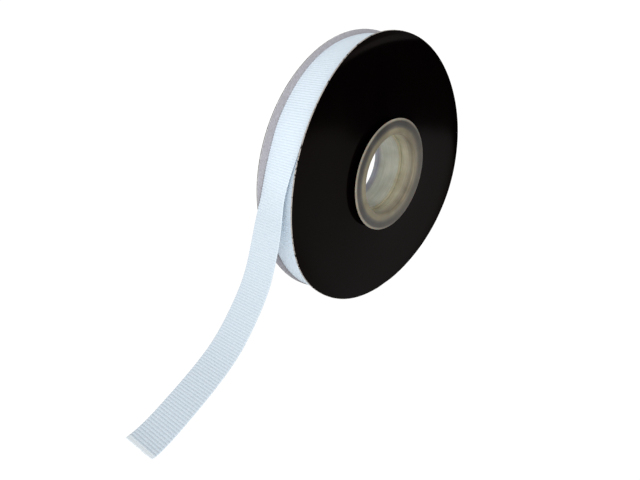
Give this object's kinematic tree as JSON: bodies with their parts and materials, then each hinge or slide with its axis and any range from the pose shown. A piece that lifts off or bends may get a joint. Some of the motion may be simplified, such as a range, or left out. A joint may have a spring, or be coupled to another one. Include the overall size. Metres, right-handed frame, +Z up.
{
  "type": "roll of grosgrain ribbon",
  "caption": "White grosgrain ribbon wound on a spool of black card discs and a milky plastic hub, standing on its rims with a loose end running out along the surface.",
  "frame": {"origin": "on the surface that the spool stands on, in the middle of the rectangle that the whole part covers, loose end included", "axes": "+Z up, +X along the spool's axis towards the front flange, -Y the way the loose end runs out"},
  "size_m": [0.0232, 0.1886, 0.1227],
  "materials": {
    "black_card": "black coated outside, plain grey-white inside",
    "milky_plastic": "translucent, moulded, soft gloss",
    "white_grosgrain": "woven with cross ribs, slight sheen"
  },
  "bodies": {
    "root": {"flange_front": "black_card", "flange_back": "black_card", "hub_front": "milky_plastic", "hub_back": "milky_plastic", "ribbon_roll": "white_grosgrain", "ribbon_tail": "white_grosgrain"}
  },
  "joints": []
}
